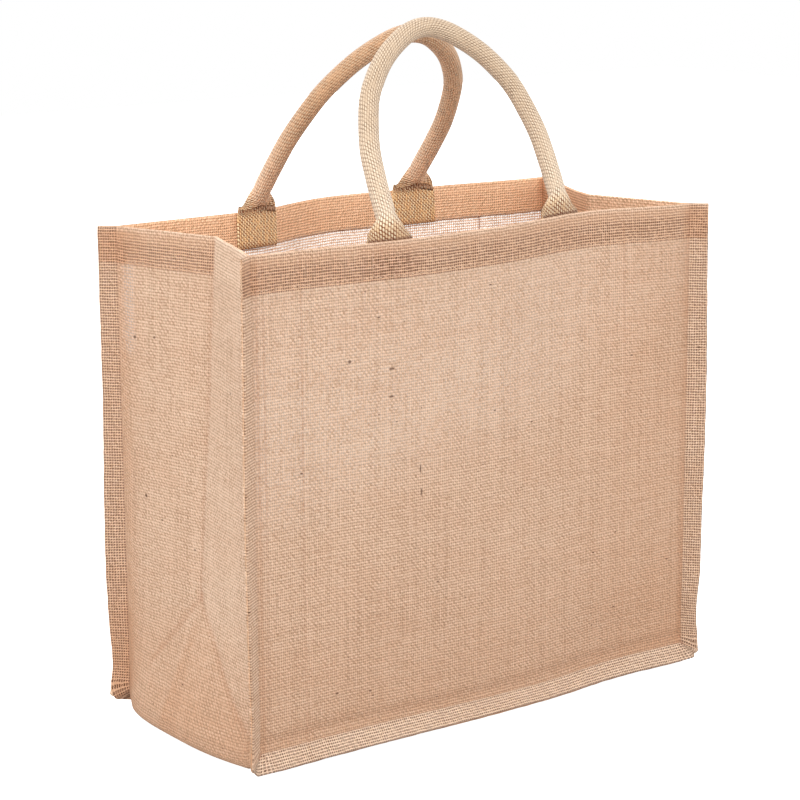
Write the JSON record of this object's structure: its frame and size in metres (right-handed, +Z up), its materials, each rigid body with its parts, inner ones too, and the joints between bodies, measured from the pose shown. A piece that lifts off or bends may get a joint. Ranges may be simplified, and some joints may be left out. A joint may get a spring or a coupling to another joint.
{
  "type": "jute tote bag",
  "caption": "Open jute shopper with a folded side-and-bottom gusset, outward seam allowances, a turned top hem and two rolled webbing handles; stands by itself on its flat bottom.",
  "frame": {"origin": "on the ground, below the middle of the bag's flat bottom, midway between its four upright seams", "axes": "+Z up; the front panel faces -Y; +X to the right as seen from the front"},
  "size_m": [0.4305, 0.2107, 0.5102],
  "materials": {
    "jute_cloth": "plain-woven natural jute, matt, with slubs",
    "handle_webbing": "close twill webbing, matt"
  },
  "bodies": {
    "root": {"front_panel": "jute_cloth", "back_panel": "jute_cloth", "gusset": "jute_cloth", "handle_front": "handle_webbing", "handle_back": "handle_webbing"}
  },
  "joints": []
}
